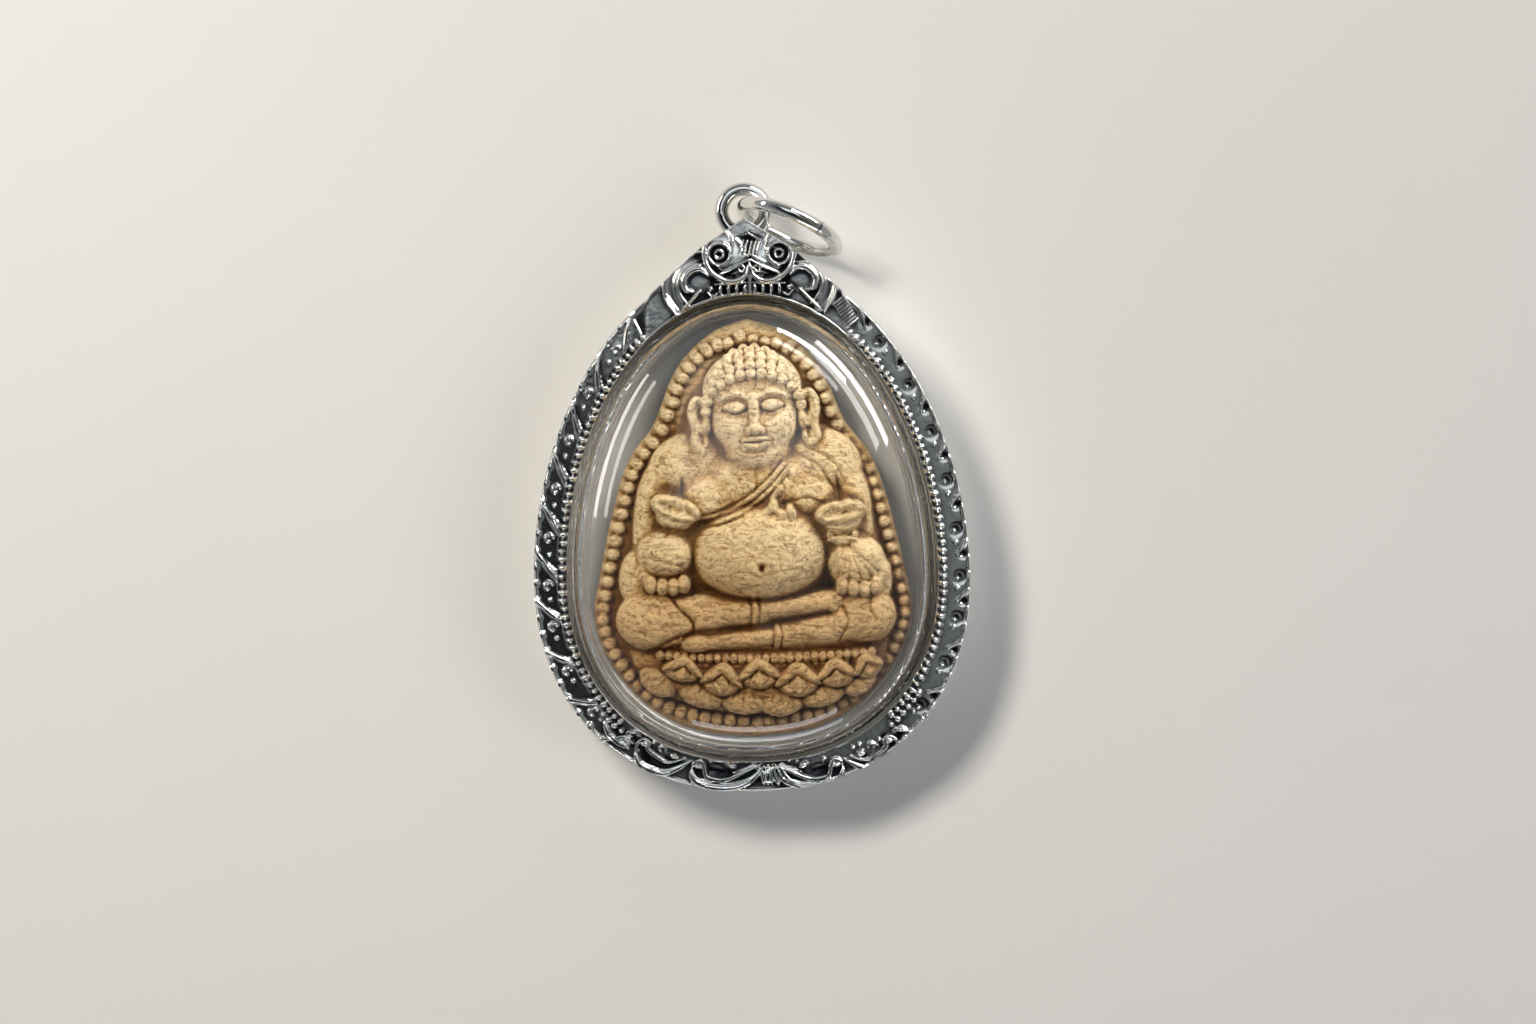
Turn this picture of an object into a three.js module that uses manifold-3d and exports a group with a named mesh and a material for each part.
// A Thai clay amulet in a clear case with a silver frame, lying on its back.
// Millimetres. +Z is the front of the amulet, +Y points to its crown.
// Shapes are drawn with y = 0 at the widest line of the egg, and the last group centres them.
import * as THREE from "three";
import { mergeVertices } from "three/addons/utils/BufferGeometryUtils.js";
import Module from "manifold-3d";

const wasm = await Module();
wasm.setup();

// Silver frame: an egg-shaped channel that grips the case
const frameHalfWidth = 17.05;
const frameBelow = 16.9; // widest line to the lowest point
const frameAbove = 24.85; // widest line to the top of the egg, under the crown
const frameHeight = 6;
const faceSide = 2.6; // width of the ornamented face at the sides
const faceBelow = 2.35;
const faceAbove = 3;
const frameWall = 0.8;
const frameLip = 0.9; // thickness of the channel's front and back
const frameEdge = 0.35; // bevel of the outer edges
const roundBelow = 2.2; // how square the egg's lower half is: 2 is an ellipse
const roundAbove = 1.9;
const roundAboveInside = 2;

// Cast ornament on the frame's face
const reliefRise = 0.3;
const ribPitch = 3.8;
const ribWidth = 0.32;
const granuleSize = 0.5;
const granulePitch = 0.66;
const scrollWire = 0.42;

// Crown plate, its mask and the eye loop behind it
const crownTipRise = 3; // from the top of the egg up to the crown's tip
const crownShoulderRise = 0.75; // up to where its slope steepens
const crownShoulderHalf = 3.5;
const crownFootDrop = 2.75; // down to where its slopes meet the egg
const crownFootHalf = 7.5;
const crownThickness = 2.1;
const crownProud = 0.35; // above the frame's face
const maskSide = 0.35; // the mask sits this far to the right of the middle
const eyeWire = 1.13;
const eyeHole = 2.34;
const eyeHeight = 3.4;
const eyeAboveCrown = 0.71; // from the crown's tip up to the middle of the hole
const eyePadWidth = 2.2;

// Jump ring, standing on its edge through the eye
const ringWire = 1.1;
const ringHole = 6.8;
const ringSlit = 0.25;
const ringHeading = -25.3; // degrees, the way its far side points, seen from the front
const ringLean = 12; // degrees, its lower side tucks under the crown

// Clear case: a domed front and a tray behind, with flanges in the channel
const fitGap = 0.25;
const clearWall = 0.8;
const trayRecess = 0.5; // the tray's back lies this far inside the frame's back
const trayFloor = 1.1;
const trayRim = 1.8; // height of the tray's flange
const domeShoulder = 6.2;
const domeTop = 11;
const domeRound = 2.6; // how square the dome is in section
const domeShift = 2.5; // the dome's top lies this far above the widest line

// Clay tablet
const tabletSidePlay = 0.65; // free room to the case's wall at the widest line
const tabletTopPlay = 0.4;
const tabletFootPlay = 0.6;
const tabletThickness = 2.2;
const tabletEdge = 0.45;
const beadSize = 0.98;
const beadCount = 84;
const beadMargin = 1.1; // from the tablet's outline to the middle of the beads
const beadMarginTop = 0.8; // more margin at the top
const reliefHeight = 5.2; // from the plate to the belly's highest point

const around = 44; // facets round the egg
const wireSides = 6;
const linkSides = 16;

const silver = new THREE.MeshStandardMaterial({ color: 0xb9bdc2, metalness: 1, roughness: 0.18 });
const polishedSilver = new THREE.MeshStandardMaterial({ color: 0xd9d8d2, metalness: 1, roughness: 0.12 });
const clay = new THREE.MeshStandardMaterial({ color: 0xd9bf8c, metalness: 0, roughness: 0.9 });
const acrylic = new THREE.MeshStandardMaterial({
  color: 0xf4f6f6, metalness: 0, roughness: 0.04, transparent: true, opacity: 0.25,
});

// Joining and cutting

function solid(geometry) {
  const bare = geometry.clone();
  bare.deleteAttribute("normal");
  bare.deleteAttribute("uv");
  const merged = mergeVertices(bare, 1e-4);
  const corners = merged.index.array;
  const triVerts = [];
  for (let i = 0; i < corners.length; i += 3) {
    const [a, b, c] = corners.slice(i, i + 3);
    if (a !== b && b !== c && c !== a) triVerts.push(a, b, c);
  }
  const vertProperties = merged.attributes.position.array;
  return new wasm.Manifold(
    new wasm.Mesh({ numProp: 3, vertProperties, triVerts: Uint32Array.from(triVerts) }),
  );
}

function joined(geometries) {
  return geometries.map(solid).reduce((whole, piece) => whole.add(piece));
}

function geometryOf(manifold) {
  const mesh = manifold.getMesh();
  const geometry = new THREE.BufferGeometry();
  geometry.setAttribute("position", new THREE.BufferAttribute(Float32Array.from(mesh.vertProperties), 3));
  geometry.setIndex(new THREE.BufferAttribute(Uint32Array.from(mesh.triVerts), 1));
  geometry.computeVertexNormals();
  return geometry;
}

function named(name, manifold, material) {
  const mesh = new THREE.Mesh(geometryOf(manifold), material);
  mesh.name = name;
  return mesh;
}

// Eggs: closed outlines of two half superellipses that meet at the widest line

const outerEgg = {
  side: frameHalfWidth, below: frameBelow, above: frameAbove, roundBelow, roundAbove,
};
const openingEgg = {
  side: frameHalfWidth - faceSide,
  below: frameBelow - faceBelow,
  above: frameAbove - faceAbove,
  roundBelow,
  roundAbove: roundAboveInside,
};

function shrunk(egg, inset) {
  return { ...egg, side: egg.side - inset, below: egg.below - inset, above: egg.above - inset };
}

function eggPoint(egg, angle) {
  const c = Math.cos(angle);
  const s = Math.sin(angle);
  const power = 2 / (s < 0 ? egg.roundBelow : egg.roundAbove);
  return new THREE.Vector2(
    egg.side * Math.sign(c) * Math.abs(c) ** power,
    (s < 0 ? egg.below : egg.above) * Math.sign(s) * Math.abs(s) ** power,
  );
}

// A point of the frame's face: share 0 is its outer edge, 1 its inner edge
function facePoint(angle, share) {
  return eggPoint(outerEgg, angle).lerp(eggPoint(openingEgg, angle), share);
}

// A ring or a lens turned round an egg: each row is an outline, its share of that outline and a height
function turnedRound(rows) {
  const profile = rows.map((row) => new THREE.Vector2(row.share === 0 ? 0 : 1, row.z));
  const geometry = new THREE.LatheGeometry(profile, around);
  const place = geometry.attributes.position;
  for (let i = 0; i <= around; i += 1) {
    rows.forEach((row, j) => {
      const share = row.share ?? 1;
      const point = eggPoint(row.egg, (i % around) * 2 * Math.PI / around).multiplyScalar(share);
      place.setXYZ(i * rows.length + j, point.x, point.y + domeShift * (1 - share), row.z);
    });
  }
  return facingOut(geometry);
}

function facingOut(geometry) {
  const place = geometry.attributes.position;
  const corner = (i) => new THREE.Vector3().fromBufferAttribute(place, geometry.index.getX(i));
  let volume = 0;
  for (let i = 0; i < geometry.index.count; i += 3) {
    volume += corner(i).dot(corner(i + 1).cross(corner(i + 2)));
  }
  if (volume < 0) geometry.index.array.reverse();
  return geometry;
}

// Small shapes for ornament and relief

function shifted(geometry, x, y, z) {
  return geometry.translate(x, y, z);
}

function bar(from, to, width, height, z) {
  const box = new THREE.BoxGeometry(from.distanceTo(to), width, height * 2);
  box.rotateZ(Math.atan2(to.y - from.y, to.x - from.x));
  return shifted(box, (from.x + to.x) / 2, (from.y + to.y) / 2, z);
}

// A path that winds inwards round a centre, as a leaf scroll does
class ScrollPath extends THREE.Curve {
  constructor(shape) {
    super();
    this.shape = shape;
  }

  getPoint(t) {
    const { x, y, z, outer, inner, start, sweep } = this.shape;
    const radius = outer + (inner - outer) * t;
    const angle = THREE.MathUtils.degToRad(start + sweep * t);
    return new THREE.Vector3(x + radius * Math.cos(angle), y + radius * Math.sin(angle), z);
  }
}

function roundSection(diameter, sides) {
  const points = [];
  for (let i = 0; i < sides; i += 1) {
    const angle = (i * 2 * Math.PI) / sides;
    points.push(new THREE.Vector2(Math.cos(angle) * diameter / 2, Math.sin(angle) * diameter / 2));
  }
  return new THREE.Shape(points);
}

function scroll(shape, wire = scrollWire, steps = 10) {
  const extrudePath = new ScrollPath(shape);
  return new THREE.ExtrudeGeometry(roundSection(wire, 5), { steps, extrudePath });
}

function flatRing(x, y, z, radius, wire) {
  return shifted(new THREE.TorusGeometry(radius, wire / 2, 5, 10), x, y, z);
}

function lump(x, y, z, size, sides = 8, levels = 6) {
  const ball = new THREE.SphereGeometry(1, sides, levels);
  ball.rotateX(Math.PI / 2);
  ball.scale(size.x, size.y, size.z);
  ball.rotateZ(THREE.MathUtils.degToRad(size.turn ?? 0));
  return shifted(ball, x, y, z);
}

// Silver frame

const channelEgg = shrunk(outerEgg, frameWall);
const rimTop = frameHeight;

function frameBand() {
  const bevelled = shrunk(outerEgg, frameEdge);
  return turnedRound([
    { egg: bevelled, z: 0 },
    { egg: outerEgg, z: frameEdge },
    { egg: outerEgg, z: rimTop - frameEdge },
    { egg: bevelled, z: rimTop },
    { egg: openingEgg, z: rimTop },
    { egg: openingEgg, z: rimTop - frameLip },
    { egg: channelEgg, z: rimTop - frameLip },
    { egg: channelEgg, z: frameLip },
    { egg: openingEgg, z: frameLip },
    { egg: openingEgg, z: 0 },
    { egg: bevelled, z: 0 },
  ]);
}

// Ornament runs down each side from the crown's foot to the leaf scrolls at the bottom
const ornamentTop = 52; // degrees up from the widest line
const ornamentBottom = -48;

// Angles along one side of the frame at an even pitch, from the top down
function evenAngles(pitch) {
  const angles = [];
  let walked = 0;
  let last = facePoint(THREE.MathUtils.degToRad(ornamentTop), 0.5);
  for (let degrees = ornamentTop; degrees > ornamentBottom; degrees -= 0.25) {
    const angle = THREE.MathUtils.degToRad(degrees);
    const point = facePoint(angle, 0.5);
    walked += point.distanceTo(last);
    last = point;
    if (walked >= pitch || angles.length === 0) {
      angles.push(angle);
      walked = 0;
    }
  }
  return angles;
}

function sideOrnament(side) {
  const mirrored = (point) => new THREE.Vector2(point.x * side, point.y);
  const pieces = [];
  evenAngles(ribPitch).forEach((angle) => {
    const slope = ribPitch / 2 / frameHalfWidth;
    const outer = mirrored(facePoint(angle, 0.12));
    const inner = mirrored(facePoint(angle - slope, 0.72));
    pieces.push(bar(outer, inner, ribWidth, reliefRise, rimTop));
    const curl = mirrored(facePoint(angle - slope * 1.1, 0.4));
    pieces.push(scroll({
      x: curl.x, y: curl.y, z: rimTop, outer: 0.55, inner: 0.25, start: 90, sweep: side * 230,
    }, scrollWire * 0.8, 5));
  });
  evenAngles(granulePitch).forEach((angle) => {
    const { x, y } = mirrored(facePoint(angle, 0.87));
    const granule = new THREE.OctahedronGeometry(granuleSize / 2);
    pieces.push(shifted(granule, x, y, rimTop));
  });
  return pieces;
}

// Leaf scrolls at the bottom: degrees round the egg from its lowest point, turn and size as shares
function bottomScrolls() {
  const table = [
    { from: -33, size: 0.36, start: 200, sweep: -330 },
    { from: -14, size: 0.38, start: 200, sweep: -350 },
    { from: 12, size: 0.38, start: -20, sweep: 350 },
    { from: 26, size: 0.34, start: -20, sweep: 330 },
    { from: 42, size: 0.3, start: -20, sweep: 330 },
  ];
  const pieces = table.map(({ from, size, start, sweep }) => {
    const { x, y } = facePoint(THREE.MathUtils.degToRad(from - 90), 0.5);
    const outer = faceBelow * size;
    return scroll({ x, y, z: rimTop, outer, inner: outer * 0.3, start, sweep });
  });
  const stem = [-4, 0, 4].map((lean) => {
    const foot = facePoint(-Math.PI / 2, 0.15);
    const tip = facePoint(THREE.MathUtils.degToRad(lean - 90), 0.8);
    return bar(foot, tip, ribWidth, reliefRise, rimTop);
  });
  return [...pieces, ...stem];
}

// Crown

const crownTop = frameAbove + crownTipRise;
const crownShoulder = frameAbove + crownShoulderRise;
const crownFoot = frameAbove - crownFootDrop;
const crownFront = rimTop + crownProud;
const crownBack = crownFront - crownThickness;
const openingTop = openingEgg.above;
const crownRise = crownTop - openingTop;

function crownPlate() {
  const outline = new THREE.Shape();
  const sunk = crownFootHalf + faceAbove / 2;
  outline.moveTo(0, crownTop);
  outline.lineTo(-crownShoulderHalf, crownShoulder);
  outline.lineTo(-crownFootHalf, crownFoot);
  outline.lineTo(-sunk, crownFoot - faceAbove);
  outline.lineTo(sunk, crownFoot - faceAbove);
  outline.lineTo(crownFootHalf, crownFoot);
  outline.lineTo(crownShoulderHalf, crownShoulder);
  const plate = new THREE.ExtrudeGeometry(outline, { depth: crownThickness, bevelEnabled: false });
  return shifted(plate, 0, 0, crownBack);
}

// What the crown must leave free: the opening over its whole height, and the channel under its face
function frameHollow() {
  const over = 1;
  const hollow = turnedRound([
    { egg: openingEgg, share: 0, z: -over },
    { egg: openingEgg, z: -over },
    { egg: openingEgg, z: frameLip },
    { egg: channelEgg, z: frameLip },
    { egg: channelEgg, z: rimTop - frameLip },
    { egg: openingEgg, z: rimTop - frameLip },
    { egg: openingEgg, z: crownFront + over },
    { egg: openingEgg, share: 0, z: crownFront + over },
  ]);
  return solid(hollow);
}

// A guardian mask: ringed eyes, nostrils, cheeks, brow, teeth and two volutes.
// Places and sizes are shares of the crown's rise over the opening.
function crownMask() {
  const at = (across, up) => ({ x: maskSide + across * crownRise, y: openingTop + up * crownRise });
  const pieces = [];
  [-1, 1].forEach((side) => {
    const eye = at(0.388 * side, 0.53);
    pieces.push(flatRing(eye.x, eye.y, crownFront, 0.12 * crownRise, 0.3));
    const pupil = 0.06 * crownRise;
    pieces.push(lump(eye.x, eye.y, crownFront, { x: pupil, y: pupil, z: pupil }));
    const nostril = at(0.1 * side, 0.35);
    pieces.push(flatRing(nostril.x, nostril.y, crownFront, 0.045 * crownRise, 0.2));
    const cheek = at(0.3 * side, 0.5);
    pieces.push(scroll({
      x: cheek.x, y: cheek.y, z: crownFront, outer: 0.33 * crownRise, inner: 0.33 * crownRise,
      start: side > 0 ? -150 : -30, sweep: side * 150,
    }, 0.34));
    const brow = at(0, 0.5);
    const browEnd = at(0.32 * side, 0.3);
    const browLine = [brow, browEnd].map((point) => new THREE.Vector2(point.x, point.y));
    pieces.push(bar(...browLine, 0.24, reliefRise * 0.8, crownFront));
    const volute = at(0.72 * side, 0.12);
    pieces.push(scroll({
      x: volute.x, y: volute.y, z: crownFront, outer: 0.28 * crownRise, inner: 0.1 * crownRise,
      start: side > 0 ? -60 : 240, sweep: side * 390,
    }, 0.5, 13));
  });
  const teeth = 8;
  for (let i = 0; i < teeth; i += 1) {
    const across = (i / (teeth - 1) - 0.5) * 0.72;
    const low = at(across, 0.04);
    const high = at(across, 0.13);
    pieces.push(bar(
      new THREE.Vector2(low.x, low.y), new THREE.Vector2(high.x, high.y), 0.34, reliefRise, crownFront,
    ));
  }
  return pieces;
}

const eyeRadius = (eyeHole + eyeWire) / 2;
const eyeMiddle = crownTop + eyeAboveCrown;

function eyeLoop() {
  const loop = new THREE.TorusGeometry(eyeRadius, eyeWire / 2, wireSides, linkSides);
  const padLength = eyeRadius;
  const pad = new THREE.BoxGeometry(eyePadWidth, padLength, crownBack - eyeHeight + eyeWire);
  const padTop = eyeMiddle - eyeRadius + eyeWire / 4;
  return [
    shifted(loop, 0, eyeMiddle, eyeHeight),
    shifted(pad, 0, padTop - padLength / 2, (crownBack + eyeHeight) / 2),
  ];
}

function silverFrame() {
  const crown = joined([crownPlate()]).subtract(frameHollow());
  const cast = joined([
    ...sideOrnament(-1), ...sideOrnament(1), ...bottomScrolls(), ...crownMask(),
  ]).subtract(frameHollow());
  return joined([frameBand(), ...eyeLoop()]).add(crown).add(cast);
}

// Clear case

const wallEgg = shrunk(openingEgg, fitGap);
const insideEgg = shrunk(wallEgg, clearWall);
const flangeEgg = shrunk(channelEgg, fitGap);
const trayBottom = frameLip + fitGap;
const trayTop = trayBottom + trayRim;
const floorTop = trayRecess + trayFloor;
const domeShares = [0.96, 0.85, 0.65, 0.35, 0];

function backTray() {
  return solid(turnedRound([
    { egg: wallEgg, share: 0, z: trayRecess },
    { egg: wallEgg, z: trayRecess },
    { egg: wallEgg, z: trayBottom },
    { egg: flangeEgg, z: trayBottom },
    { egg: flangeEgg, z: trayTop },
    { egg: insideEgg, z: trayTop },
    { egg: insideEgg, z: floorTop },
    { egg: insideEgg, share: 0, z: floorTop },
  ]));
}

function domeRows(egg, foot, top) {
  return domeShares.map((share) => (
    { egg, share, z: foot + (top - foot) * Math.sqrt(1 - share ** domeRound) }
  ));
}

function frontDome() {
  const flangeTop = rimTop - frameLip - fitGap;
  const flangeBottom = trayTop + fitGap;
  return solid(turnedRound([
    ...domeRows(insideEgg, domeShoulder - clearWall, domeTop - clearWall).reverse(),
    { egg: insideEgg, z: domeShoulder - clearWall },
    { egg: insideEgg, z: flangeBottom },
    { egg: flangeEgg, z: flangeBottom },
    { egg: flangeEgg, z: flangeTop },
    { egg: wallEgg, z: flangeTop },
    { egg: wallEgg, z: domeShoulder },
    ...domeRows(wallEgg, domeShoulder, domeTop),
  ]));
}

// Clay tablet. Heights up the tablet are shares of its length, half widths of its half width.

const tabletWidth = 2 * (insideEgg.side - tabletSidePlay);
const tabletFoot = insideEgg.below - tabletFootPlay;
const tabletLength = tabletFoot + insideEgg.above - tabletTopPlay;
const plateBottom = floorTop + fitGap;
const plateTop = plateBottom + tabletThickness;

const tabletOutline = [
  { up: 1, half: 0 },
  { up: 0.967, half: 0.22 },
  { up: 0.91, half: 0.392 },
  { up: 0.85, half: 0.49 },
  { up: 0.796, half: 0.545 },
  { up: 0.742, half: 0.608 },
  { up: 0.682, half: 0.73 },
  { up: 0.628, half: 0.8 },
  { up: 0.508, half: 0.89 },
  { up: 0.387, half: 0.96 },
  { up: 0.297, half: 1 },
  { up: 0.207, half: 0.941 },
  { up: 0.117, half: 0.78 },
  { up: 0.057, half: 0.6 },
  { up: 0.015, half: 0.34 },
  { up: 0, half: 0 },
];

function tabletPoint(half, up, z = 0) {
  return new THREE.Vector3(half * tabletWidth / 2, up * tabletLength - tabletFoot, z);
}

function tabletCurve() {
  const right = tabletOutline.map(({ up, half }) => tabletPoint(half, up));
  const left = tabletOutline.slice(1, -1).reverse().map(({ up, half }) => tabletPoint(-half, up));
  return new THREE.CatmullRomCurve3([...right, ...left], true);
}

function tabletPlate() {
  const edge = tabletCurve().getSpacedPoints(52).slice(0, -1);
  const outline = new THREE.Shape(edge.map((point) => new THREE.Vector2(point.x, point.y)));
  const plate = new THREE.ExtrudeGeometry(outline, {
    depth: tabletThickness - tabletEdge,
    bevelThickness: tabletEdge,
    bevelSize: tabletEdge,
    bevelOffset: -tabletEdge,
    bevelSegments: 1,
  });
  return shifted(plate, 0, 0, plateBottom);
}

function beadBorder() {
  const curve = tabletCurve();
  const size = { x: beadSize / 2, y: beadSize / 2, z: beadSize / 2 };
  return Array.from({ length: beadCount }, (_, i) => {
    const point = curve.getPointAt(i / beadCount);
    const heading = curve.getTangentAt(i / beadCount);
    const inward = new THREE.Vector2(heading.y, -heading.x);
    const margin = beadMargin + beadMarginTop * Math.max(0, -inward.y) ** 6;
    return lump(
      point.x + inward.x * margin, point.y + inward.y * margin, plateTop, size, 6, 4,
    );
  });
}

// The figure and its seat. x, y and the sizes across are hundredths of the tablet's width and length,
// z and the size in height are hundredths of the relief's height over the plate.
const figureLumps = [
  { part: "torso", x: 2, y: 52, z: 0, wide: 32, tall: 22, high: 58 },
  { part: "shoulder", x: -18, y: 63.5, z: 0, wide: 13.5, tall: 8, high: 56 },
  { part: "shoulder", x: 21.5, y: 64, z: 0, wide: 13, tall: 8, high: 56 },
  { part: "chest", x: 2, y: 61, z: 0, wide: 21, tall: 9, high: 72 },
  { part: "breast", x: -14, y: 57.5, z: 18, wide: 8.4, tall: 6, high: 56 },
  { part: "breast", x: 18, y: 57.5, z: 18, wide: 8.4, tall: 6, high: 56 },
  { part: "belly", x: 2.5, y: 43, z: 14, wide: 19.8, tall: 11.5, high: 86 },
  { part: "neck", x: 2, y: 65.5, z: 20, wide: 9.5, tall: 5, high: 48 },
  { part: "head", x: 2, y: 75.4, z: 22, wide: 14.4, tall: 12.6, high: 68 },
  { part: "hair", x: 2, y: 82.5, z: 12, wide: 15.5, tall: 9.2, high: 66 },
  { part: "ear", x: -14.5, y: 73.5, z: 26, wide: 3.2, tall: 6.4, high: 28, turn: 3 },
  { part: "ear", x: 18.5, y: 73, z: 26, wide: 3.2, tall: 6.4, high: 28, turn: 3 },
  { part: "nose", x: 2.3, y: 74.6, z: 78, wide: 2.2, tall: 4, high: 22 },
  { part: "eyelid", x: -4.5, y: 76.6, z: 70, wide: 3.6, tall: 1.3, high: 18 },
  { part: "eyelid", x: 9, y: 76.6, z: 70, wide: 3.6, tall: 1.3, high: 18 },
  { part: "lips", x: 2.6, y: 68.6, z: 70, wide: 4.2, tall: 1.1, high: 22 },
  { part: "ingot", x: -23, y: 53.5, z: 52, wide: 7, tall: 2.9, high: 24, turn: -20 },
  { part: "bag", x: -25.5, y: 44, z: 36, wide: 7.9, tall: 5.4, high: 44 },
  { part: "ingot", x: 28.5, y: 54, z: 52, wide: 6.9, tall: 3.3, high: 24, turn: 20 },
  { part: "knot", x: 28.5, y: 47.4, z: 42, wide: 5, tall: 1.4, high: 26 },
  { part: "bag", x: 32, y: 41.6, z: 34, wide: 8.2, tall: 5.6, high: 44 },
  { part: "knee", x: -31, y: 29.4, z: 6, wide: 12.6, tall: 8.8, high: 62 },
  { part: "knee", x: 32.5, y: 30, z: 6, wide: 12, tall: 8, high: 58 },
  { part: "seat", x: 1, y: 18, z: 0, wide: 40, tall: 12, high: 46 },
];

// Limbs: a rounded bar from one place to another, with its radius in hundredths of the tablet's width
const figureLimbs = [
  { part: "arm", x: -27, y: 62, toX: -31.5, toY: 45.5, z: 16, radius: 7.4 },
  { part: "arm", x: 29.5, y: 63, toX: 35.5, toY: 46, z: 16, radius: 7.4 },
  { part: "shin", x: -24, y: 31, toX: 1, toY: 30, z: 40, radius: 6 },
  { part: "foot", x: 3.5, y: 30.4, toX: 25, toY: 33.3, z: 50, radius: 3.8 },
  { part: "shin", x: 28, y: 27.8, toX: 9, toY: 24.9, z: 24, radius: 6.4 },
  { part: "foot", x: 6.6, y: 24.9, toX: -18, toY: 22.8, z: 34, radius: 3.4 },
];

// Rows of small rounds: fingers, hair curls, the seat's beads and its lotus petals
const figureRows = [
  { part: "fingers", x: -31, toX: -18.5, y: 37.2, toY: 36.8, z: 46, count: 4, wide: 2.3, tall: 2.6, high: 22 },
  { part: "fingers", x: 26, toX: 39.5, y: 36.2, toY: 36.8, z: 44, count: 4, wide: 2.3, tall: 2.6, high: 22 },
  { part: "curls", x: -11, toX: 15.5, y: 83, toY: 82.6, z: 62, count: 9, wide: 1.9, tall: 1.5, high: 22, bow: 2.4 },
  { part: "curls", x: -9.5, toX: 13.5, y: 85.8, toY: 85.4, z: 56, count: 8, wide: 1.9, tall: 1.5, high: 22, bow: 2.4 },
  { part: "curls", x: -7.5, toX: 11.5, y: 88.4, toY: 88, z: 40, count: 7, wide: 1.9, tall: 1.4, high: 22, bow: 2 },
  { part: "beads", x: -27, toX: 34, y: 20.2, toY: 20.4, z: 34, count: 20, wide: 1.5, tall: 1.2, high: 20, bow: -1 },
  { part: "petals", x: -21, toX: 37, y: 15.4, toY: 16.4, z: 30, count: 6, wide: 6, tall: 2.8, high: 26, bow: -1 },
];

function figurePoint(x, y, z) {
  const point = tabletPoint(x / 50, y / 100, plateTop + (z / 100) * reliefHeight);
  return point;
}

function figureLump({ x, y, z, wide, tall, high, turn }, sides, levels) {
  const place = figurePoint(x, y, z);
  const size = {
    x: (wide / 100) * tabletWidth, y: (tall / 100) * tabletLength, z: (high / 100) * reliefHeight, turn,
  };
  return lump(place.x, place.y, place.z, size, sides, levels);
}

function figureLimb({ x, y, toX, toY, z, radius }) {
  const from = figurePoint(x, y, z);
  const to = figurePoint(toX, toY, z);
  const limb = new THREE.CapsuleGeometry((radius / 100) * tabletWidth, from.distanceTo(to), 2, 7);
  limb.rotateZ(Math.atan2(to.y - from.y, to.x - from.x) - Math.PI / 2);
  return shifted(limb, (from.x + to.x) / 2, (from.y + to.y) / 2, from.z);
}

function figureRow(row) {
  return Array.from({ length: row.count }, (_, i) => {
    const t = i / (row.count - 1);
    const place = {
      ...row,
      x: row.x + (row.toX - row.x) * t,
      y: row.y + (row.toY - row.y) * t + (row.bow ?? 0) * 4 * t * (1 - t),
    };
    return figureLump(place, 5, 4);
  });
}

function clayAmulet() {
  const relief = joined([
    tabletPlate(),
    ...beadBorder(),
    ...figureLumps.map((row) => figureLump(row, row.wide > 7 ? 10 : 6, row.wide > 7 ? 8 : 4)),
    ...figureLimbs.map(figureLimb),
    ...figureRows.flatMap(figureRow),
  ]);
  const under = new THREE.BoxGeometry(2 * tabletWidth, 3 * tabletLength, tabletThickness * 3);
  return relief.subtract(solid(shifted(under, 0, 0, plateBottom - tabletThickness * 1.5)));
}

// Jump ring: its near side passes through the eye, its lower edge rests level with the frame's back

function jumpRing() {
  const radius = (ringHole + ringWire) / 2;
  const slit = THREE.MathUtils.radToDeg(ringSlit / radius);
  const wire = scroll({
    x: 0, y: 0, z: 0, outer: radius, inner: radius, start: slit / 2, sweep: 360 - slit,
  }, ringWire, linkSides);
  const heading = THREE.MathUtils.degToRad(ringHeading);
  const lean = THREE.MathUtils.degToRad(ringLean);
  wire.rotateZ(THREE.MathUtils.degToRad(60));
  wire.rotateX(Math.PI / 2 - lean);
  wire.rotateZ(heading);
  return shifted(
    wire,
    radius * Math.cos(heading),
    eyeMiddle + radius * Math.sin(heading) + eyeWire / 4,
    radius * Math.cos(lean) + ringWire / 2,
  );
}

const pendant = new THREE.Group();
pendant.add(
  named("silver_frame", silverFrame(), silver),
  named("front_dome", frontDome(), acrylic),
  named("back_tray", backTray(), acrylic),
  named("clay_amulet", clayAmulet(), clay),
  named("jump_ring", solid(jumpRing()), polishedSilver),
);
const pendantTop = eyeMiddle + eyeRadius + eyeWire / 2;
pendant.position.y = -(pendantTop - frameBelow) / 2;

export default pendant;
